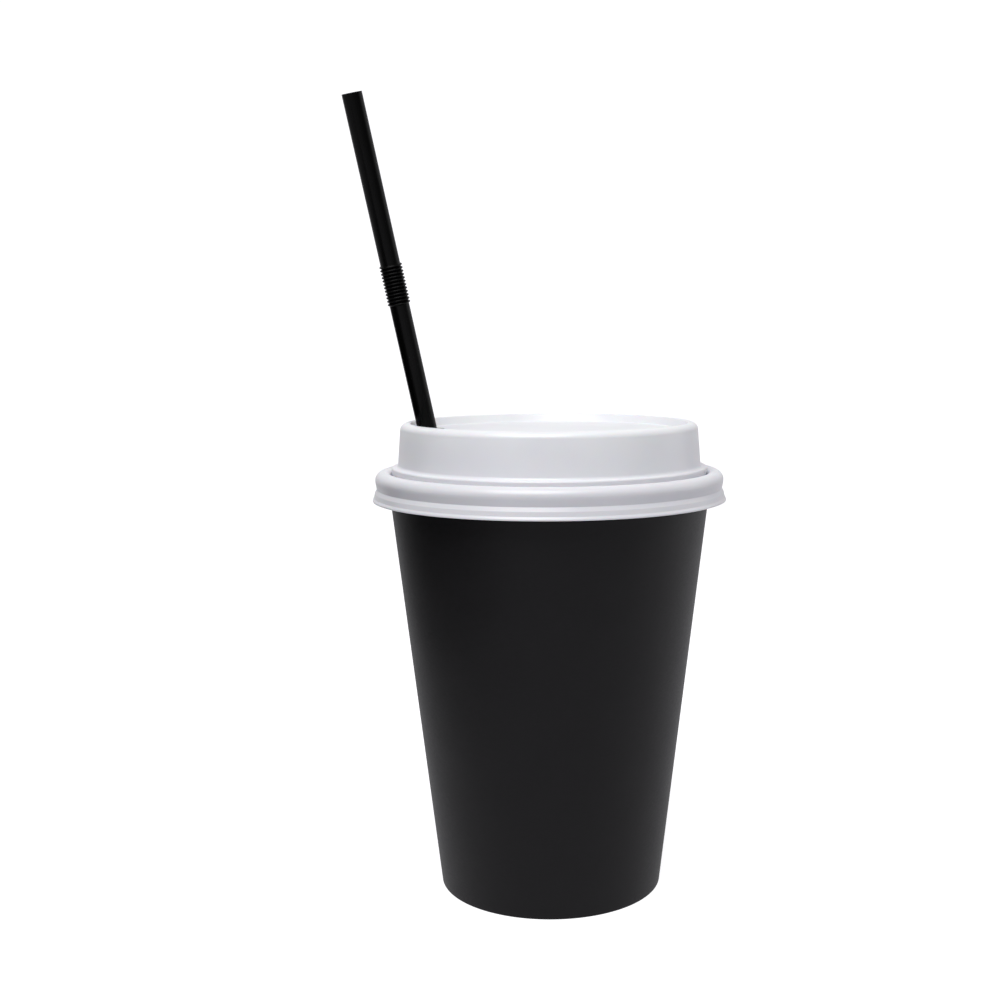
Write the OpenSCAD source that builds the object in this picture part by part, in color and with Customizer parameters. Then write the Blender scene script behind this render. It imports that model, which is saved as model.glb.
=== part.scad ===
// Disposable paper coffee cup, with a thermoformed sip lid and a bendy straw.
// Millimetres, +Z up. The cup stands on z = 0 with its axis on Z.
// The sip slot lies on the -X side of the lid, and the cup's glued seam at +Y.

/* [Cup] */
// Height of the cup to the top of its rolled rim
cup_h = 111; // [90:0.5:130]
// Outer diameter of the cup where it stands
base_d = 59; // [50:0.5:70]
// Lean of the side wall from upright, in degrees
wall_lean = 6.76; // [4:0.01:9]
// Thickness of the side wall's paper
wall_t = 0.4; // [0.3:0.05:0.55]
// Thickness of the bottom's paper
bottom_t = 0.4; // [0.3:0.05:0.55]
// Outer diameter of the rolled rim's section
curl_d = 2.5; // [2.4:0.1:3.4]
// Angle that the paper is rolled through at the rim, in degrees
curl_turn = 300; // [200:5:305]
// Height of the cup's inside bottom above the table
floor_rise = 8; // [6:0.5:12]
// Drop from the inside bottom to the top of the folded hem
hem_drop = 2; // [1.6:0.1:3]
// Bend radius where the bottom turns down into its skirt
bottom_bend = 0.8; // [0.6:0.1:1.1]
// Angle that the glued side seam covers, in degrees
seam_angle = 11; // [6:1:16]

/* [Lid] */
// Thickness of the lid's formed sheet
sheet_t = 0.4; // [0.3:0.05:0.5]
// Height of the lid's crest above the cup's rim
dome_h = 13.15; // [9:0.05:20]
// Lean of the raised wall from upright, in degrees
dome_lean = 4.3; // [2:0.1:10]
// Width of the crest, from the raised wall to the sunk panel
crest_w = 3.3; // [3.2:0.1:6]
// Rounding of the crest's outer edge
crest_round = 1.9; // [0.8:0.1:2]
// Depth of the sunk panel below the crest
panel_drop = 2.25; // [1.3:0.05:3]
// Height of the ledge at the raised wall's foot, above the cup's rim
ledge_h = 1.7; // [1.5:0.05:2.2]
// Width of that ledge
ledge_w = 1.7; // [1.4:0.05:2]
// Depth that the sealing plug reaches into the cup, below its rim
plug_depth = 2.2; // [1.6:0.1:6]
// Width of the groove above the plug
moat_w = 0.4; // [0.3:0.1:1.5]
// Fall of the shoulder over the rim, in degrees
shoulder_fall = 3; // [0:0.5:8]
// Rounding of the shoulder's inner edge, above the plug
shoulder_start = 1.7; // [1:0.1:1.8]
// Rounding of the bead, from the shoulder over the rolled rim's side
shoulder_round = 2.2; // [1.5:0.05:2.2]
// Depth of the snap groove below the rim's top
snap_drop = 3.15; // [3.05:0.05:3.6]
// How far the snap groove is drawn in
snap_in = 0.4; // [0.2:0.02:0.46]
// Height of the skirt's edge below the rim's top
skirt_drop = 7; // [6:0.5:10]
// How far the skirt's edge stands out past the bead
skirt_flare = 0.78; // [0.6:0.02:1.6]
// Width of the lip that is turned out at the skirt's edge
lip_out = 0.4; // [0.2:0.05:0.6]
// Diameter of the vent hole
vent_d = 1.6; // [1:0.1:3]
// Distance of the vent hole from the lid's axis
vent_x = 28; // [15:1:32]
// Overall length of the sip slot along the rim
slot_l = 13.8; // [10:0.2:24]
// Distance of the sip slot from the foot of the panel's edge
slot_inset = 0.35; // [0.1:0.05:3]

/* [Straw] */
// Outer diameter of the straw
straw_d = 5.1; // [4.6:0.1:6]
// Wall of the straw
straw_wall = 0.2; // [0.15:0.05:0.3]
// Tilt of the straw from upright, in degrees
straw_tilt = 14.5; // [6:0.5:15]
// Direction that the straw's mouth leans towards, in degrees from +X
straw_azimuth = -130; // [-140:0.2:-110]
// Length of the leg that stands in the cup
lower_l = 150.5; // [135:0.5:170]
// Length of the pleated section, unbent
bellows_l = 10.5; // [6:0.1:14]
// Number of pleats
pleats = 12; // [7:1:16]
// How far the pleats' ridges stand out past the straw
ridge_out = 0.4; // [0.1:0.02:0.5]
// How far the pleats' valleys are drawn in
valley_in = 0.06; // [0:0.02:0.4]
// Length of the mouth end
mouth_l = 42.6; // [30:0.1:60]

/* [Fits] */
// Height of the lid's shoulder above the rolled rim
rim_gap = 0.2; // [0.1:0.05:0.5]
// Gap between the lid's plug and the cup's wall
plug_gap = 0.2; // [0.1:0.05:0.5]
// Gap between the lid's bead and the rolled rim
bead_gap = 0.58; // [0.54:0.01:0.8]
// Gap between the straw and the sip slot
slot_gap = 0.17; // [0.1:0.01:0.6]
// Height of the straw's foot above the cup's bottom
foot_gap = 0.3; // [0.1:0.05:1]
// Gap between the end of the bottom's skirt and the hem's fold
skirt_gap = 0.15; // [0.1:0.05:0.5]

/* [Hidden] */
$fn = 96;
bend_steps = 5;
curl_steps = 24;

// The fold radii are for the outer face, so that the inner face keeps some radius too.
inner_fold = 0.03;
paper_fold = wall_t + inner_fold;
sheet_fold = sheet_t + inner_fold;

// Cup: the wall's faces by height, and the roll of the rim
base_r = base_d / 2;
wall_across = wall_t / cos(wall_lean);
wall_up = [sin(wall_lean), cos(wall_lean)];
curl_r = curl_d / 2;
roll_r = curl_r - wall_t;
curl_z = cup_h - curl_r;
curl_x = outer_r(curl_z) + roll_r / cos(wall_lean);
rim_r = curl_x + curl_r;
hem_top = floor_rise - hem_drop;
hem_across = (2 * wall_t + bottom_t) / cos(wall_lean);
// The outer flap fades into the wall on one side of the seam, and ends in a step on the other.
seam_fade = 2;
seam_fade_angle = 4;
seam_sink = 0.5;
seam_top = curl_z - curl_r;

// Lid: each radius follows from the cup's wall or rim
plug_z = cup_h - plug_depth;
plug_out = wall_across + (plug_gap + sheet_t) / cos(wall_lean);
moat_out = plug_out + moat_w / cos(wall_lean);
shoulder_reach = curl_r + rim_gap + sheet_t;
ledge_z = cup_h + ledge_h;
dome_foot_r = outer_r(ledge_z) - moat_out - ledge_w;
crest_z = cup_h + dome_h;
crest_r = dome_foot_r - (crest_z - ledge_z) * tan(dome_lean);
panel_z = crest_z - panel_drop;
panel_r = crest_r - crest_w;
panel_edge_lean = 20;
panel_edge_out = panel_drop * tan(panel_edge_lean);
panel_fold = 0.4;
crest_inner_round = 0.6;
ledge_round = 0.85;
bead_r = rim_r + bead_gap + sheet_t;
snap_z = cup_h - snap_drop;
snap_round = 0.3;
neck_h = 1.2;
neck_round = 0.7;
skirt_z = cup_h - skirt_drop;
skirt_r = bead_r + skirt_flare;
lip_h = 0.6;

// Sip slot: an arc along the rim, wide enough for the tilted straw
slot_w = straw_d / cos(straw_tilt) + sheet_t * tan(straw_tilt) + 2 * slot_gap;
slot_r = panel_r - panel_fold - slot_inset - slot_w / 2;
slot_half_angle = (slot_l - slot_w) / 2 / slot_r * 180 / PI;
through = 3;

// Straw: it goes through the sip slot's front end, and its foot stands over the cup's bottom.
straw_r = straw_d / 2;
bore_r = straw_r - straw_wall;
straw_along = [
    sin(straw_tilt) * cos(straw_azimuth),
    sin(straw_tilt) * sin(straw_azimuth),
    cos(straw_tilt)
];
straw_entry = [
    -slot_r * cos(slot_half_angle),
    -slot_r * sin(slot_half_angle),
    panel_z - sheet_t / 2
];
foot_z = floor_rise + foot_gap + straw_r * sin(straw_tilt);
foot_back = (straw_entry[2] - foot_z) / cos(straw_tilt);
pleat = bellows_l / pleats;
pleat_flat = 0.12;

// Radius of the cup's outer face at a height
function outer_r(z) = base_r + z * tan(wall_lean);

// A point on a cone that lies a set distance inside the cup's outer face
function inside(z, across) = [outer_r(z) - across, z];

function unit(v) = v / norm(v);
function left(v) = [-v[1], v[0]];
function turned(v, a) = [v[0] * cos(a) - v[1] * sin(a), v[0] * sin(a) + v[1] * cos(a)];
function flat(p) = [p[0], p[1]];

// Points of a rounded corner at b, each with the normal on the left of the path
function bend(a, b, c, r) =
    let (
        u = unit(b - a),
        v = unit(c - b),
        turn = atan2(u[0] * v[1] - u[1] * v[0], u * v),
        side = sign(turn),
        start = b - u * r * tan(abs(turn) / 2),
        hub = start + left(u) * r * side
    )
    [
        for (i = [0 : bend_steps])
            let (n = left(turned(u, turn * i / bend_steps)))
                [hub - n * r * side, n]
    ];

// A path through corners [x, y, radius], whose first and last are plain ends
function route(c) =
    let (m = len(c) - 1)
    concat(
        [[flat(c[0]), left(unit(flat(c[1]) - flat(c[0])))]],
        [for (i = [1 : m - 1]) each bend(flat(c[i - 1]), flat(c[i]), flat(c[i + 1]), c[i][2])],
        [[flat(c[m]), left(unit(flat(c[m]) - flat(c[m - 1])))]]
    );

// The section of a sheet of one thickness, which lies to the left (1) or right (-1) of its path
function sheet(path, t, side) = concat(
    [for (p = path) p[0]],
    [for (i = [len(path) - 1 : -1 : 0]) path[i][0] + path[i][1] * t * side]
);

// The rolled rim turns on from the wall's outer face, around its own centre.
function rolled_rim() = [
    for (i = [0 : curl_steps])
        let (n = turned(left(wall_up), -curl_turn * i / curl_steps))
            [[curl_x, curl_z] + n * roll_r, n]
];

// Hem, fold, wall and rim of the side wall, along its outer face
function wall_path() = concat(
    [[inside(hem_top, hem_across), left(-wall_up)]],
    bend(inside(hem_top, hem_across), inside(0, hem_across), inside(0, 0), paper_fold),
    bend(inside(0, hem_across), inside(0, 0), inside(cup_h, 0), paper_fold),
    rolled_rim()
);

// The glued seam: the outer flap's extra layer on the wall
module side_seam() {
    sunk = wall_across * seam_sink;
    rotate([0, 0, 90 - seam_angle / 2])
        difference() {
            rotate([0, 0, -seam_fade_angle])
                rotate_extrude(angle = seam_angle + seam_fade_angle)
                    polygon([
                        inside(paper_fold, sunk),
                        inside(paper_fold, -wall_across),
                        inside(seam_top, -wall_across),
                        inside(seam_top, sunk)
                    ]);
            translate([outer_r(0), 0, 0])
                rotate([0, wall_lean, 0])
                    rotate([0, 0, atan2(wall_t, seam_fade)])
                        translate([0, -base_r, -base_r])
                            cube([base_r, base_r, 2 * base_r + cup_h]);
        }
}

module cup_sidewall() {
    color("#26242a")
        union() {
            rotate_extrude()
                polygon(sheet(wall_path(), wall_t, 1));
            side_seam();
        }
}

// Disc with a skirt that is turned down into the hem
module cup_bottom() {
    skirt_end = wall_t + skirt_gap;
    corners = [
        [0, floor_rise],
        [outer_r(floor_rise) - wall_across, floor_rise, bottom_bend],
        inside(skirt_end, wall_across)
    ];
    color("#2e2c30")
        rotate_extrude()
            polygon(sheet(route(corners), bottom_t, -1));
}

// Height of the shoulder's outer face at a radius: it lies over the rolled rim at the rim gap.
function shoulder_z(x) =
    curl_z + (shoulder_reach - (x - curl_x) * sin(shoulder_fall)) / cos(shoulder_fall);

// Where the groove's outer face, which is parallel to the cup's wall, meets the shoulder
function groove_top() =
    let (
        fall = tan(shoulder_fall),
        z = (shoulder_z(0) - fall * (base_r - plug_out)) / (1 + fall * tan(wall_lean))
    )
    inside(z, plug_out);

// Where the bead's lower side, which runs from its rounding into the snap groove, meets the shoulder
function bead_top() =
    let (
        hub_x = bead_r - shoulder_round,
        hub = [hub_x, shoulder_z(hub_x) - shoulder_round / cos(shoulder_fall)],
        to_snap = [bead_r - snap_in, snap_z] - hub,
        tuck = atan2(-to_snap[1], to_snap[0]) - acos(shoulder_round / norm(to_snap)),
        rise = shoulder_z(bead_r - snap_in) - snap_z,
        x = bead_r - snap_in + rise * tan(tuck) / (1 + tan(shoulder_fall) * tan(tuck))
    )
    [x, shoulder_z(x)];

// Corners of the lid's upper face, from its centre to the skirt's edge
function lid_corners() =
    let (top = groove_top(), bead = bead_top())
    [
        [0, panel_z],
        [panel_r, panel_z, panel_fold],
        [panel_r + panel_edge_out, crest_z, crest_inner_round],
        [crest_r, crest_z, crest_round],
        [dome_foot_r, ledge_z, ledge_round],
        [outer_r(ledge_z) - moat_out, ledge_z, sheet_fold],
        [outer_r(plug_z) - moat_out, plug_z, moat_w * 0.45],
        [outer_r(plug_z) - plug_out, plug_z, moat_w * 0.45],
        [top[0], top[1], shoulder_start],
        [bead[0], bead[1], shoulder_round],
        [bead_r - snap_in, snap_z, snap_round],
        [skirt_r - lip_out, snap_z - neck_h, neck_round],
        [skirt_r - lip_out, skirt_z + lip_h, sheet_fold],
        [skirt_r, skirt_z]
    ];

// Arc slot with round ends, centred on -X
module sip_slot() {
    translate([0, 0, panel_z - through])
        rotate([0, 0, 180]) {
            rotate([0, 0, -slot_half_angle])
                rotate_extrude(angle = 2 * slot_half_angle)
                    translate([slot_r - slot_w / 2, 0])
                        square([slot_w, 2 * through]);
            for (end = [-1, 1])
                rotate([0, 0, end * slot_half_angle])
                    translate([slot_r, 0, 0])
                        cylinder(d = slot_w, h = 2 * through);
        }
}

module lid() {
    color("#ecebee")
        difference() {
            rotate_extrude()
                polygon(sheet(route(lid_corners()), sheet_t, -1));
            sip_slot();
            translate([vent_x, 0, panel_z - through])
                cylinder(d = vent_d, h = 2 * through);
        }
}

// Places what is drawn along +Z at a distance up the straw from its foot
module on_straw(distance) {
    translate(straw_entry + straw_along * (distance - foot_back))
        rotate([0, straw_tilt, straw_azimuth])
            children();
}

module tube(l) {
    rotate_extrude()
        translate([bore_r, 0])
            square([straw_wall, l]);
}

module straw_lower() {
    color("#17161a")
        on_straw(0)
            tube(lower_l);
}

// One pleat after another: up from the straw's wall to a ridge, and down into a valley
function pleat_line() = concat(
    [[straw_r, 0]],
    [
        for (i = [0 : pleats - 1])
            each [
                if (i > 0) [straw_r - valley_in, (i + pleat_flat) * pleat],
                [straw_r + ridge_out, (i + 0.5 - pleat_flat) * pleat],
                [straw_r + ridge_out, (i + 0.5 + pleat_flat) * pleat],
                if (i < pleats - 1) [straw_r - valley_in, (i + 1 - pleat_flat) * pleat]
            ]
    ],
    [[straw_r, bellows_l]]
);

module straw_bellows() {
    outer = pleat_line();
    inner = [for (i = [len(outer) - 1 : -1 : 0]) outer[i] - [straw_wall, 0]];
    color("#1c1b20")
        on_straw(lower_l)
            rotate_extrude()
                polygon(concat(outer, inner));
}

module straw_upper() {
    color("#17161a")
        on_straw(lower_l + bellows_l)
            tube(mouth_l);
}

cup_sidewall();
cup_bottom();
lid();
straw_lower();
straw_bellows();
straw_upper();
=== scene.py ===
"""Black paper coffee cup with a white sip lid and a black bendy straw, as in the photograph."""

import math

import bmesh
import bpy
import numpy as np
from mathutils import Matrix, Vector


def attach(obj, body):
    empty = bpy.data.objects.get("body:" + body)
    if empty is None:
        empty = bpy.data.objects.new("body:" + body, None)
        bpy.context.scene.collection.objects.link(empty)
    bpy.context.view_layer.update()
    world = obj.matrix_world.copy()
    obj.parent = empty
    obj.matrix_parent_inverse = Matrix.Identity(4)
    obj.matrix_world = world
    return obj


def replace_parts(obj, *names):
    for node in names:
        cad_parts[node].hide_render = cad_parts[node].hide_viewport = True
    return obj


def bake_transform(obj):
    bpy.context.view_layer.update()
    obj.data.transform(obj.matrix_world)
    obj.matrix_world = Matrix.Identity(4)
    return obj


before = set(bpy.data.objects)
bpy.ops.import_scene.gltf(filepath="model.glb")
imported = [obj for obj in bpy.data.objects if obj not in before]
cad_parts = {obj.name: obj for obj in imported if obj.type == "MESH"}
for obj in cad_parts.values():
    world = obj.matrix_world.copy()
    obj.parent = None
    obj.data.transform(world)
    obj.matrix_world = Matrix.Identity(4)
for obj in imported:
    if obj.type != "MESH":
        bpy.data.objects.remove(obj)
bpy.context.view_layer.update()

MM = 0.001

# Sizes in millimetres: the CAD part's, but for the lid's lower side, which follows the photograph more closely.
CUP_H = 111.0
BASE_R = 29.5
WALL_LEAN = math.radians(6.76)
WALL_T = 0.4
BOTTOM_T = 0.4
CURL_R = 1.25
CURL_TURN = math.radians(300)
FLOOR_RISE = 8.0
HEM_TOP = 6.0
BOTTOM_BEND = 0.8
SEAM_ANGLE = 11.0
SEAM_FADE = 4.0
SHEET_T = 0.4
CREST_Z = 124.15
DOME_LEAN = math.radians(4.3)
CREST_W = 3.3
CREST_ROUND = 1.9
PANEL_DROP = 2.25
LEDGE_Z = 112.7
LEDGE_W = 1.7
LEDGE_ROUND = 0.85
PLUG_Z = 108.8
PLUG_GAP = 0.2
MOAT_W = 0.4
SHOULDER_FALL = math.radians(3)
SHOULDER_START = 1.7
SHOULDER_ROUND = 2.2
RIM_GAP = 0.2
BEAD_GAP = 0.68
BEAD_LOWER_ROUND = 5
TUCK_Z = 108.95
SNAP_Z = 107.1
SNAP_IN = 0.35
SNAP_ROUND = 0.3
NECK_Z = 106.05
NECK_OUT = 0.15
NECK_ROUND = 0.6
LIP_Z = 104.9
LIP_START_OUT = 0.37
LIP_END_Z = 104.32
LIP_END_OUT = 0.73
SKIRT_Z = 104.0
SKIRT_OUT = 0.75
VENT_R = 0.8
VENT_X = 28.0
SLOT_L = 13.8
SLOT_W = 5.7112
SLOT_INSET = 0.35
STRAW_R = 2.55
BORE_R = 2.35
STRAW_TILT = math.radians(14.5)
STRAW_AZIMUTH = math.radians(-130)
LOWER_L = 150.5
BELLOWS_L = 10.5
PLEATS = 12
RIDGE_OUT = 0.4
VALLEY_IN = 0.06
MOUTH_L = 42.6


# ---- Arrays to meshes ----


def grid_quads(rows, columns, close_rows=False, close_columns=True):
    """Corner indices of a grid's quads, row by row, and their unwrapped (row, column) places for the UV map."""
    r = np.arange(rows if close_rows else rows - 1)
    c = np.arange(columns if close_columns else columns - 1)
    r, c = (a.ravel() for a in np.meshgrid(r, c, indexing="ij"))
    places = np.stack(
        [np.stack([r, c], 1), np.stack([r, c + 1], 1), np.stack([r + 1, c + 1], 1), np.stack([r + 1, c], 1)], 1
    )
    return (places[..., 0] % rows) * columns + places[..., 1] % columns, places


def build(name, patches, material, sharp=35):
    """One mesh from patches of (points, quads, uv per corner), with its doubles merged and its normals outwards."""
    mesh = bpy.data.meshes.new(name)
    start, points, quads, uvs = 0, [], [], []
    for p, q, uv in patches:
        points.append(p.reshape(-1, 3) * MM)
        quads.append(q + start)
        uvs.append(uv.reshape(-1, 2))
        start += points[-1].shape[0]
    points, quads, uvs = np.concatenate(points), np.concatenate(quads), np.concatenate(uvs)
    mesh.vertices.add(len(points))
    mesh.vertices.foreach_set("co", points.ravel())
    mesh.loops.add(quads.size)
    mesh.loops.foreach_set("vertex_index", quads.ravel())
    mesh.polygons.add(len(quads))
    mesh.polygons.foreach_set("loop_start", np.arange(0, quads.size, 4))
    mesh.uv_layers.new(name="UVMap").data.foreach_set("uv", uvs.ravel().astype(np.float32))
    mesh.update(calc_edges=True)
    bm = bmesh.new()
    bm.from_mesh(mesh)
    bmesh.ops.remove_doubles(bm, verts=bm.verts, dist=2e-6)
    bmesh.ops.recalc_face_normals(bm, faces=bm.faces)
    bm.to_mesh(mesh)
    bm.free()
    mesh.polygons.foreach_set("use_smooth", np.ones(len(mesh.polygons), bool))
    mesh.set_sharp_from_angle(angle=math.radians(sharp))
    mesh.materials.append(material)
    piece = bpy.data.objects.new(name, mesh)
    bpy.context.scene.collection.objects.link(piece)
    return piece


# ---- Profiles: the sections of formed sheets ----


def bend(a, b, c, r, steps=9):
    """Rounds the corner at b with radius r: points on the arc, each with the normal on the left of the path."""
    a, b, c = (np.array(p[:2], float) for p in (a, b, c))
    u, v = (b - a) / np.linalg.norm(b - a), (c - b) / np.linalg.norm(c - b)
    turn = math.atan2(u[0] * v[1] - u[1] * v[0], u @ v)
    side = math.copysign(1, turn)
    hub = b - u * r * math.tan(abs(turn) / 2) + np.array([-u[1], u[0]]) * r * side
    t = turn * np.linspace(0, 1, steps)
    d = np.stack([u[0] * np.cos(t) - u[1] * np.sin(t), u[0] * np.sin(t) + u[1] * np.cos(t)], 1)
    n = np.stack([-d[:, 1], d[:, 0]], 1)
    return np.concatenate([hub - n * r * side, n], 1)


def plain_end(a, b, at):
    """An end of a path, with the left normal of the line from a to b."""
    d = np.array(b[:2], float) - np.array(a[:2], float)
    d /= np.linalg.norm(d)
    return np.array([[at[0], at[1], -d[1], d[0]]])


def route(corners):
    """A path through corners (x, z, radius), whose first and last are plain ends."""
    inner = [bend(corners[i - 1], corners[i], corners[i + 1], corners[i][2]) for i in range(1, len(corners) - 1)]
    return np.concatenate(
        [plain_end(corners[0], corners[1], corners[0]), *inner, plain_end(corners[-2], corners[-1], corners[-1])]
    )


def with_stops(path, stops):
    """Adds points where the path's straight lines cross the radii in stops, so that the grid has rings there."""
    out = [path[0]]
    for p, q in zip(path[:-1], path[1:]):
        cut = sorted((s for s in stops if min(p[0], q[0]) < s < max(p[0], q[0])), reverse=bool(q[0] < p[0]))
        if abs(p[1] - q[1]) < 1e-9:
            out += [np.array([s, p[1], p[2], p[3]]) for s in cut]
        out.append(q)
    return np.array(out)


def outer_r(z):
    """Radius of the cup's outer face at height z."""
    return BASE_R + z * math.tan(WALL_LEAN)


def inside(z, across, *r):
    """A point on a cone that lies a set distance inside the cup's outer face."""
    return (outer_r(z) - across, z, *r)


FOLD = 0.03
WALL_ACROSS = WALL_T / math.cos(WALL_LEAN)
HEM_ACROSS = (2 * WALL_T + BOTTOM_T) / math.cos(WALL_LEAN)
CURL_Z = CUP_H - CURL_R
ROLL_R = CURL_R - WALL_T
CURL_X = outer_r(CURL_Z) + ROLL_R / math.cos(WALL_LEAN)
PLUG_OUT = WALL_ACROSS + (PLUG_GAP + SHEET_T) / math.cos(WALL_LEAN)
MOAT_OUT = PLUG_OUT + MOAT_W / math.cos(WALL_LEAN)
DOME_FOOT_R = outer_r(LEDGE_Z) - MOAT_OUT - LEDGE_W
CREST_R = DOME_FOOT_R - (CREST_Z - LEDGE_Z) * math.tan(DOME_LEAN)
PANEL_Z = CREST_Z - PANEL_DROP
PANEL_R = CREST_R - CREST_W
BEAD_R = CURL_X + CURL_R + BEAD_GAP + SHEET_T
SLOT_R = PANEL_R - 0.4 - SLOT_INSET - SLOT_W / 2
SLOT_HALF = (SLOT_L - SLOT_W) / 2 / SLOT_R


def wall_path():
    """Hem, fold, wall and rolled rim along the outer face. The roll turns on around its own centre."""
    fold = WALL_T + FOLD
    hem = bend(inside(HEM_TOP, HEM_ACROSS), inside(0, HEM_ACROSS), inside(0, 0), fold)
    foot = bend(inside(0, HEM_ACROSS), inside(0, 0), inside(CUP_H, 0), fold)
    start = plain_end(inside(HEM_TOP, HEM_ACROSS), inside(0, HEM_ACROSS), inside(HEM_TOP, HEM_ACROSS))
    rise = np.linspace(foot[-1], [*inside(CURL_Z - 1.2, 0), *foot[-1][2:]], 60)[1:]
    t = math.pi - WALL_LEAN - CURL_TURN * np.linspace(0, 1, 41)
    n = np.stack([np.cos(t), np.sin(t)], 1)
    roll = np.concatenate([np.array([CURL_X, CURL_Z]) + n * ROLL_R, n], 1)
    return np.concatenate([start, hem, foot, rise, roll])


def shoulder_z(x):
    """Height of the lid's shoulder, which lies over the rolled rim."""
    reach = CURL_R + RIM_GAP + SHEET_T
    return CURL_Z + (reach - (x - CURL_X) * math.sin(SHOULDER_FALL)) / math.cos(SHOULDER_FALL)


def lid_path():
    """The lid's upper face from its centre to the skirt's edge."""
    fall, fold = math.tan(SHOULDER_FALL), SHEET_T + FOLD
    top = (shoulder_z(0) - fall * (BASE_R - PLUG_OUT)) / (1 + fall * math.tan(WALL_LEAN))
    return route(
        [
            (0, PANEL_Z),
            (PANEL_R, PANEL_Z, 0.4),
            (PANEL_R + PANEL_DROP * math.tan(math.radians(20)), CREST_Z, 0.6),
            (CREST_R, CREST_Z, CREST_ROUND),
            (DOME_FOOT_R, LEDGE_Z, LEDGE_ROUND),
            (outer_r(LEDGE_Z) - MOAT_OUT, LEDGE_Z, fold),
            inside(PLUG_Z, MOAT_OUT, MOAT_W * 0.45),
            inside(PLUG_Z, PLUG_OUT, MOAT_W * 0.45),
            inside(top, PLUG_OUT, SHOULDER_START),
            (BEAD_R, shoulder_z(BEAD_R), SHOULDER_ROUND),
            (BEAD_R, TUCK_Z, BEAD_LOWER_ROUND),
            (BEAD_R - SNAP_IN, SNAP_Z, SNAP_ROUND),
            (BEAD_R + NECK_OUT, NECK_Z, NECK_ROUND),
            (BEAD_R + LIP_START_OUT, LIP_Z, fold),
            (BEAD_R + LIP_END_OUT, LIP_END_Z, fold),
            (BEAD_R + SKIRT_OUT, SKIRT_Z),
        ]
    )


def sheet(path, t, side):
    """The closed section of a sheet of thickness t to the left (1) or right (-1) of its path."""
    return np.concatenate([path[:, :2], (path[:, :2] + path[:, 2:] * t * side)[::-1]])


def run_length(line):
    """Distance along a line of points, from its start."""
    return np.concatenate([[0], np.cumsum(np.linalg.norm(np.diff(line, axis=0), axis=1))])


def revolve(section, angles):
    """The section carried round Z: x = r cos a, y = r sin a. The UV map is in millimetres round and along."""
    r, z = section[:, :1], section[:, 1:]
    points = np.stack([r * np.cos(angles), r * np.sin(angles), np.broadcast_to(z, (len(r), len(angles)))], -1)
    quads, places = grid_quads(len(section), len(angles), close_rows=True)
    along = run_length(np.concatenate([section, section[:1]]))
    around = np.append(angles, angles[0] + 2 * math.pi) * np.abs(section[:, 0]).max()
    uv = np.stack([around[places[..., 1]], along[places[..., 0]]], -1)
    return points, quads, uv


# ---- Materials ----


def colour(text):
    """Linear RGBA from an sRGB hex colour."""
    v = [int(text[i : i + 2], 16) / 255 for i in (0, 2, 4)]
    return (*[c / 12.92 if c <= 0.04045 else ((c + 0.055) / 1.055) ** 2.4 for c in v], 1)


def add(tree, kind, inputs=None, **settings):
    """Adds a node, with its settings, and with each input set to a value or linked to an output."""
    made = tree.nodes.new(kind)
    for key, value in settings.items():
        setattr(made, key, value)
    for key, value in (inputs or {}).items():
        if isinstance(value, bpy.types.NodeSocket):
            tree.links.new(value, made.inputs[key])
        else:
            made.inputs[key].default_value = value
    return made


def new_material(name, **surface):
    """An empty material with a Principled surface, and that surface's node."""
    made = bpy.data.materials.new(name)
    made.use_nodes = True
    tree = made.node_tree
    shader = tree.nodes["Principled BSDF"]
    for key, value in surface.items():
        shader.inputs[key.replace("_", " ")].default_value = value
    return made, tree, shader


def dyed_paperboard():
    """Cupstock dyed black, uncoated outside and calendered: matte, with a soft sheen at a low angle and fibres that
    lie around the cup."""
    made, tree, shader = new_material("dyed_black_paperboard", IOR=1.48, Specular_IOR_Level=0.19)
    place = add(tree, "ShaderNodeTexCoord").outputs["Object"]
    # Fibres are about 1.5 mm long and 0.3 mm across, and lie around the cup.
    lie = add(tree, "ShaderNodeMapping", {"Vector": place, "Scale": (700, 700, 2600)})
    fibres = add(tree, "ShaderNodeTexNoise", {"Vector": lie.outputs[0], "Scale": 1, "Detail": 3, "Roughness": 0.6})
    clouds = add(tree, "ShaderNodeTexNoise", {"Vector": place, "Scale": 90, "Detail": 3, "Roughness": 0.55})
    tone = add(
        tree,
        "ShaderNodeMix",
        {"Factor": 0.45, 6: fibres.outputs["Fac"], 7: clouds.outputs["Fac"]},
        data_type="RGBA",
    )
    ramp = add(tree, "ShaderNodeValToRGB", {"Fac": tone.outputs[2]})
    ramp.color_ramp.elements[0].position, ramp.color_ramp.elements[1].position = 0.3, 0.72
    ramp.color_ramp.elements[0].color, ramp.color_ramp.elements[1].color = colour("080709"), colour("100f11")
    tree.links.new(ramp.outputs[0], shader.inputs["Base Color"])
    rough = add(tree, "ShaderNodeMapRange", {"Value": fibres.outputs["Fac"], "To Min": 0.45, "To Max": 0.58})
    tree.links.new(rough.outputs[0], shader.inputs["Roughness"])
    grain = add(tree, "ShaderNodeBump", {"Height": fibres.outputs["Fac"], "Strength": 0.35, "Distance": 0.00006})
    cockle = add(tree, "ShaderNodeTexNoise", {"Vector": place, "Scale": 55, "Detail": 1})
    sway = add(
        tree,
        "ShaderNodeBump",
        {"Height": cockle.outputs["Fac"], "Strength": 0.5, "Distance": 0.0004, "Normal": grain.outputs[0]},
    )
    tree.links.new(sway.outputs[0], shader.inputs["Normal"])
    return made


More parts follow.
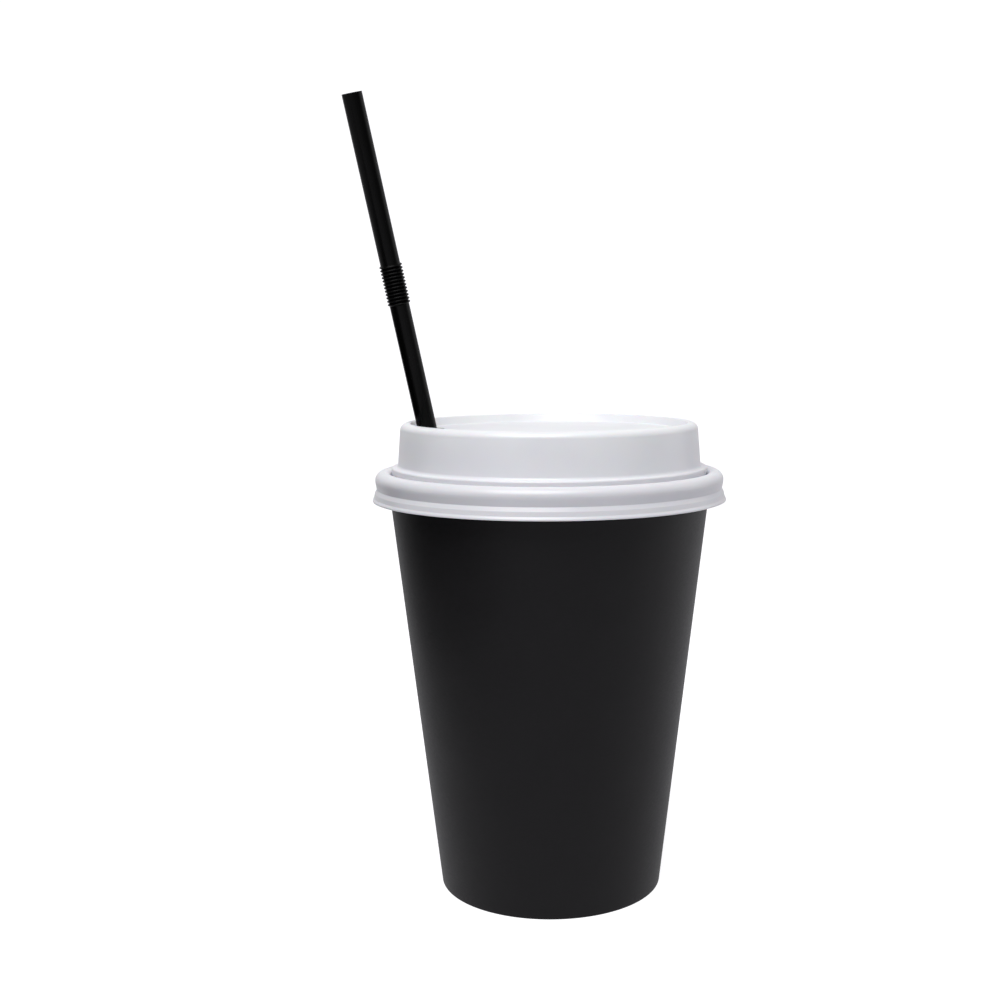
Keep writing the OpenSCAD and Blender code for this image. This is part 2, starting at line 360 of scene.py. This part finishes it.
def formed_polystyrene():
    """High-impact polystyrene sheet, vacuum formed: white, half glossy, faintly uneven where it was drawn over the
    mould. Painted shade: the colour darkens, a little lavender, down the raised wall, and stays darker below it."""
    made, tree, shader = new_material(
        "vacuum_formed_white_polystyrene", IOR=1.57, Subsurface_Weight=0.12, Subsurface_Scale=0.0012
    )
    place = add(tree, "ShaderNodeTexCoord").outputs["Object"]
    drift = add(tree, "ShaderNodeTexNoise", {"Vector": place, "Scale": 45, "Detail": 2})
    ramp = add(tree, "ShaderNodeValToRGB", {"Fac": drift.outputs["Fac"]})
    ramp.color_ramp.elements[0].position, ramp.color_ramp.elements[1].position = 0.35, 0.65
    ramp.color_ramp.elements[0].color, ramp.color_ramp.elements[1].color = colour("efeef3"), colour("f6f5f8")
    height = add(tree, "ShaderNodeSeparateXYZ", {"Vector": place}).outputs["Z"]
    # Painted shade: darker and a little lavender from the panel down to the ledge, and on everything below it.
    painted_shade_by_height = add(
        tree,
        "ShaderNodeMapRange",
        {"Value": height, "From Min": LEDGE_Z * MM, "From Max": PANEL_Z * MM, "To Min": 0.42, "To Max": 1},
    )
    body = add(
        tree,
        "ShaderNodeMix",
        {"Factor": painted_shade_by_height.outputs[0], 6: colour("dddce2"), 7: ramp.outputs[0]},
        data_type="RGBA",
    )
    tree.links.new(body.outputs[2], shader.inputs["Base Color"])
    rough = add(tree, "ShaderNodeMapRange", {"Value": drift.outputs["Fac"], "To Min": 0.28, "To Max": 0.4})
    tree.links.new(rough.outputs[0], shader.inputs["Roughness"])
    wave = add(tree, "ShaderNodeTexNoise", {"Vector": place, "Scale": 220, "Detail": 1})
    bump = add(tree, "ShaderNodeBump", {"Height": wave.outputs["Fac"], "Strength": 0.25, "Distance": 0.00012})
    tree.links.new(bump.outputs[0], shader.inputs["Normal"])
    return made


def extruded_polypropylene():
    """Black polypropylene tube, extruded: smooth and glossy, with fine lines along it from the die."""
    made, tree, shader = new_material(
        "extruded_black_polypropylene", IOR=1.49, Specular_IOR_Level=0.09, Base_Color=colour("030303")
    )
    uv = add(tree, "ShaderNodeUVMap", uv_map="UVMap").outputs[0]
    # Die lines are about 0.25 mm apart round the tube and run for centimetres along it.
    lie = add(tree, "ShaderNodeMapping", {"Vector": uv, "Scale": (4, 0.03, 1)})
    lines = add(tree, "ShaderNodeTexNoise", {"Vector": lie.outputs[0], "Scale": 1, "Detail": 2})
    rough = add(tree, "ShaderNodeMapRange", {"Value": lines.outputs["Fac"], "To Min": 0.22, "To Max": 0.36})
    tree.links.new(rough.outputs[0], shader.inputs["Roughness"])
    bump = add(tree, "ShaderNodeBump", {"Height": lines.outputs["Fac"], "Strength": 0.3, "Distance": 0.00003})
    tree.links.new(bump.outputs[0], shader.inputs["Normal"])
    return made


paper = dyed_paperboard()
polystyrene = formed_polystyrene()
polypropylene = extruded_polypropylene()


# ---- Cup ----


def cup_wall():
    """The side wall revolved, with the seam's extra layer: outwards by one thickness over the overlap, fading at one
    edge and stepping at the other."""
    path = wall_path()
    section = sheet(path, WALL_T, 1)
    half = math.radians(SEAM_ANGLE / 2)
    fade = math.radians(SEAM_FADE)
    step = math.radians(0.03)
    centre = math.pi / 2
    plain = np.linspace(centre + half + step, centre - half - fade - step + 2 * math.pi, 220)
    lapped = np.linspace(centre - half - fade, centre + half, 22) + 2 * math.pi
    angles = np.concatenate([plain, lapped])
    points, quads, uv = revolve(section, angles)
    rise = np.clip((lapped - 2 * math.pi - (centre - half - fade)) / fade, 0, 1)
    lift = np.concatenate([np.zeros(len(plain)), rise]) * WALL_T
    low, high = WALL_T + FOLD, CURL_Z - CURL_R
    on_wall = np.zeros(len(section))
    outer = np.arange(len(path))
    z = path[:, 1]
    on_wall[outer] = np.where((outer > 18) & (z > low - 0.05) & (z < high), 1, 0)
    out = np.stack([np.cos(angles), np.sin(angles), np.zeros(len(angles))], -1)
    points += on_wall[:, None, None] * lift[None, :, None] * out[None]
    return build("cup_wall_paper", [(points, quads, uv)], paper)


def cup_floor():
    """Disc with its skirt turned down into the hem, revolved from its section."""
    path = route(
        [
            (0, FLOOR_RISE),
            (outer_r(FLOOR_RISE) - WALL_ACROSS, FLOOR_RISE, BOTTOM_BEND),
            inside(WALL_T + 0.15, WALL_ACROSS),
        ]
    )
    path = with_stops(path, [5, 10, 15, 20, 25])
    section = sheet(path, BOTTOM_T, -1)
    return build("cup_floor_paper", [revolve(section, np.linspace(0, 2 * math.pi, 193)[:-1])], paper)


# ---- Lid ----


def ring_of(points, rows, columns):
    """The outline of a block of a grid, once round, from its first corner."""
    (r0, r1), (c0, c1) = rows, columns
    return np.concatenate(
        [
            points[r0, c0:c1],
            points[r0:r1, c1],
            points[r1, c1:c0:-1],
            points[r1:r0:-1, c0],
        ]
    )


def arc_slot(count_turn):
    """Outline of the arc slot, once round from its inner low corner, as (radius, angle from -X): two arcs along the
    rim, and a half circle at each end."""
    half, w = SLOT_HALF * SLOT_R, SLOT_W / 2
    side, end = count_turn
    turn = np.linspace(-math.pi / 2, math.pi / 2, end, endpoint=False)
    there, back = (np.linspace(a, -a, side, endpoint=False) for a in (-half, half))
    s = np.concatenate([there, half + w * np.cos(turn), back, -half - w * np.cos(turn)])
    q = np.concatenate([np.full(side, -w), w * np.sin(turn), np.full(side, w), -w * np.sin(turn)])
    return np.stack([SLOT_R + q, s / SLOT_R], 1)


def infill(outline, hole, rows=5):
    """Rings that go evenly from an outline to the hole inside it, point by point."""
    t = np.linspace(0, 1, rows)[:, None, None]
    return outline[None] * (1 - t) + hole[None] * t


def patch_of(points):
    """A ring-shaped grid with a UV map straight down onto it."""
    quads, _ = grid_quads(points.shape[0], points.shape[1])
    flat = points.reshape(-1, 3)
    return points, quads, flat[quads][..., :2]


def lid_shell():
    """The lid's section revolved. Round each hole a block of the panel's grid is left out, above and below, and
    filled with rings that follow the hole; a short wall joins the two."""
    bands = {"slot": np.linspace(28.75, 35.15, 13), "vent": (26.4, 27.2, 28.0, 29.6)}
    path = with_stops(lid_path(), [2, 6, 11, 16, 21, 25, *bands["vent"], *bands["slot"]])
    section = sheet(path, SHEET_T, -1)
    count = 256
    angles = np.linspace(0, 2 * math.pi, count + 1)[:-1]
    points, quads, uv = revolve(section, angles)
    centre = count // 2
    blocks = {"slot": (centre - 10, centre + 10), "vent": (count - 2, count + 2)}
    wide = np.concatenate([points, points[:, :8]], 1)
    drop, patches = np.zeros(len(quads), bool), []
    index = np.arange(len(section) * count).reshape(len(section), count)
    for name, (c0, c1) in blocks.items():
        low, high = bands[name][0], bands[name][-1]
        rims = []
        for z in (PANEL_Z, PANEL_Z - SHEET_T):
            within = (section[:, 0] > low - 0.01) & (section[:, 0] < high + 0.01)
            rows = np.where(within & (np.abs(section[:, 1] - z) < 1e-6))[0]
            r0, r1 = rows.min(), rows.max()
            cells = index[r0:r1][:, np.arange(c0, c1) % count].ravel()
            drop |= np.isin(quads[:, 0], cells) & (np.isin(quads[:, 2] // count, np.arange(r0, r1 + 1)))
            # The underside's rows run inwards, so they are counted from the other end.
            if section[r0, 0] > section[r1, 0]:
                last = len(section) - 1
                outline = ring_of(wide[::-1], (last - r1, last - r0), (c0, c1))
            else:
                outline = ring_of(wide, (r0, r1), (c0, c1))
            if name == "slot":
                hole = arc_slot((c1 - c0, r1 - r0))
                # The outline starts at the low corner of its inner side, and so does the slot.
                a = hole[:, 1] + math.pi
                hole = np.stack([hole[:, 0] * np.cos(a), hole[:, 0] * np.sin(a), np.full(len(a), z)], 1)
            else:
                middle = np.array([VENT_X, 0, z])
                to = outline - middle
                hole = middle + to / np.linalg.norm(to, axis=1)[:, None] * VENT_R
            rims.append(hole)
            patches.append(patch_of(infill(outline, hole)))
        patches.append(patch_of(np.stack(rims)))
    return build("lid_shell", [(points, quads[~drop], uv[~drop]), *patches], polystyrene)


# ---- Straw ----


ALONG = np.array(
    [
        math.sin(STRAW_TILT) * math.cos(STRAW_AZIMUTH),
        math.sin(STRAW_TILT) * math.sin(STRAW_AZIMUTH),
        math.cos(STRAW_TILT),
    ]
)
ENTRY = np.array([-SLOT_R * math.cos(SLOT_HALF), -SLOT_R * math.sin(SLOT_HALF), PANEL_Z - SHEET_T / 2])
FOOT_Z = FLOOR_RISE + 0.3 + STRAW_R * math.sin(STRAW_TILT)
FOOT_BACK = (ENTRY[2] - FOOT_Z) / math.cos(STRAW_TILT)
TURN = np.array(Matrix.Rotation(STRAW_AZIMUTH, 3, "Z") @ Matrix.Rotation(STRAW_TILT, 3, "Y"))


def up_straw(distance):
    """The point of the straw's axis at a distance from its foot."""
    return ENTRY + ALONG * (distance - FOOT_BACK)


def straw_piece(name, outer, start, segments=64):
    """A length of straw: the line (radius, distance) carried round the straw's axis, with the bore's line inside it."""
    inner = outer - [STRAW_R - BORE_R, 0]
    section = np.concatenate([outer, inner[::-1]])
    points, quads, uv = revolve(section, np.linspace(0, 2 * math.pi, segments + 1)[:-1])
    points = points @ TURN.T + up_straw(start)
    return build(name, [(points, quads, uv)], polypropylene, sharp=50)


def pleat_line():
    """Radius along the pleats: a rounded ridge and a narrow valley to each pleat, and plain at both ends."""
    s = np.linspace(0, PLEATS, PLEATS * 14 + 1)
    wave = 0.5 - 0.5 * np.cos(2 * math.pi * s)
    radius = STRAW_R - VALLEY_IN + (RIDGE_OUT + VALLEY_IN) * wave**0.7
    ends = np.clip(np.minimum(s, PLEATS - s) * 2, 0, 1)
    radius = np.where(ends < 1, np.maximum(radius, STRAW_R), radius)
    return np.stack([radius, s * BELLOWS_L / PLEATS], 1)


def tube_line(length):
    """A plain length of straw."""
    return np.stack([np.full(24, STRAW_R), np.linspace(0, length, 24)], 1)


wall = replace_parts(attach(cup_wall(), "cup"), "cup_sidewall")
floor_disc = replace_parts(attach(cup_floor(), "cup"), "cup_bottom")
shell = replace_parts(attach(lid_shell(), "lid"), "lid")
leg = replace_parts(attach(straw_piece("straw_leg", tube_line(LOWER_L), 0), "lid"), "straw_lower")
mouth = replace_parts(
    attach(straw_piece("straw_mouth_end", tube_line(MOUTH_L), LOWER_L + BELLOWS_L), "straw_mouthpiece"), "straw_upper"
)
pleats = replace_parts(straw_piece("straw_pleats", pleat_line(), LOWER_L), "straw_bellows")
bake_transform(pleats)


# ---- Stage: floor, backdrop, light and camera ----


def stage_material():
    """Matte pale card. To the eye, and less in gloss, it glows, so that it shows white and still takes the shadow."""
    made, tree, shader = new_material("white_card", Base_Color=colour("b8b6be"), Roughness=0.9)
    seen = add(tree, "ShaderNodeLightPath")
    eye = add(tree, "ShaderNodeMath", {0: seen.outputs["Is Camera Ray"], 1: 0.86}, operation="MULTIPLY")
    gloss = add(tree, "ShaderNodeMath", {0: seen.outputs["Is Glossy Ray"], 1: 0.62}, operation="MULTIPLY")
    glow = add(tree, "ShaderNodeMath", {0: eye.outputs[0], 1: gloss.outputs[0]}, operation="MAXIMUM")
    shader.inputs["Emission Color"].default_value = (1, 1, 1, 1)
    tree.links.new(glow.outputs[0], shader.inputs["Emission Strength"])
    return made


def stage_sheet():
    """Floor and backdrop in one sheet: flat, then round a quarter circle, then upright, carried across."""
    t = np.linspace(0, math.pi / 2, 16)
    y = np.concatenate([[-1.6, -0.6, 0.3], 0.5 + 0.6 * np.sin(t), [1.1]])
    z = np.concatenate([[0, 0, 0], 0.6 - 0.6 * np.cos(t), [2.4]])
    x = np.linspace(-2.0, 2.0, 9)
    points = np.stack(np.broadcast_arrays(x, y[:, None], z[:, None]), -1)
    quads, places = grid_quads(len(y), 9, close_columns=False)
    return build("stage_sheet", [(points / MM, quads, places.astype(float))], stage_material())


def black_card():
    """A dark card that stands upright at the left, folded twice. The cup and the lid mirror it as a dark zone, and
    the eye looks past it, so that it hides nothing from any side."""
    y, z = np.meshgrid([-0.3, 0, 0.15], np.linspace(0.005, 0.12, 3), indexing="ij")
    points = np.stack([np.broadcast_to([[-0.139], [-0.175], [-0.265]], y.shape), y, z], -1)
    quads, places = grid_quads(3, 3, close_columns=False)
    made, _, _ = new_material("black_card", Base_Color=colour("0a0a0a"), Roughness=0.9, Specular_IOR_Level=0.1)
    card = build("black_card", [(points / MM, quads, places.astype(float))], made)
    card.visible_camera = False
    return card


def area_light(name, at, to, size, power):
    """A soft box at a point, turned to another."""
    light = bpy.data.lights.new(name, "AREA")
    light.shape, light.size, light.size_y = "RECTANGLE", *size
    light.energy = power
    made = bpy.data.objects.new(name, light)
    made.location = at
    made.rotation_mode = "QUATERNION"
    made.rotation_quaternion = (Vector(to) - Vector(at)).to_track_quat("-Z", "Y")
    bpy.context.scene.collection.objects.link(made)
    return made


def light_and_world():
    """A soft box overhead, to the front and a little to the left, a weak one low on the right, and a dim world that
    the camera sees as white."""
    area_light("top_box", (-0.09, -0.48, 0.95), (0, 0, 0.1), (0.75, 0.75), 9.7)
    area_light("right_box", (0.85, 0.35, 0.3), (0, 0, 0.08), (0.5, 0.7), 1.2)
    world = bpy.data.worlds.new("studio")
    bpy.context.scene.world = world
    world.use_nodes = True
    tree = world.node_tree
    seen = add(tree, "ShaderNodeLightPath")
    value = add(
        tree,
        "ShaderNodeMapRange",
        {"Value": seen.outputs["Is Camera Ray"], "To Min": 0.2, "To Max": 1.0},
    )
    back = tree.nodes["Background"]
    back.inputs["Color"].default_value = (1, 1, 1, 1)
    tree.links.new(value.outputs[0], back.inputs["Strength"])


def photo_camera():
    """The photograph's camera, fitted to the outlines of the cup, the lid and the straw: 50 mm to the right of the
    cup's front, 7 degrees down."""
    side, pitch, roll = math.radians(8), math.radians(6.92), math.radians(0.23)
    distance, height, focal = 0.35986, 0.14701, 1.36791
    data = bpy.data.cameras.new("photo_camera")
    data.sensor_width, data.lens = 36, 36 * focal
    data.shift_x = -0.04943
    camera = bpy.data.objects.new("photo_camera", data)
    forward = Vector((-math.sin(side) * math.cos(pitch), math.cos(side) * math.cos(pitch), -math.sin(pitch)))
    right = Vector((math.cos(side), math.sin(side), 0))
    up = right.cross(forward)
    right, up = right * math.cos(roll) - up * math.sin(roll), right * math.sin(roll) + up * math.cos(roll)
    turn = Matrix((right, up, -forward)).transposed()
    place = Vector((distance * math.sin(side), -distance * math.cos(side), height))
    camera.matrix_world = Matrix.Translation(place) @ turn.to_4x4()
    bpy.context.scene.collection.objects.link(camera)
    bpy.context.scene.camera = camera


stage_sheet()
black_card()
light_and_world()
photo_camera()
bpy.context.scene.view_settings.view_transform = "Standard"
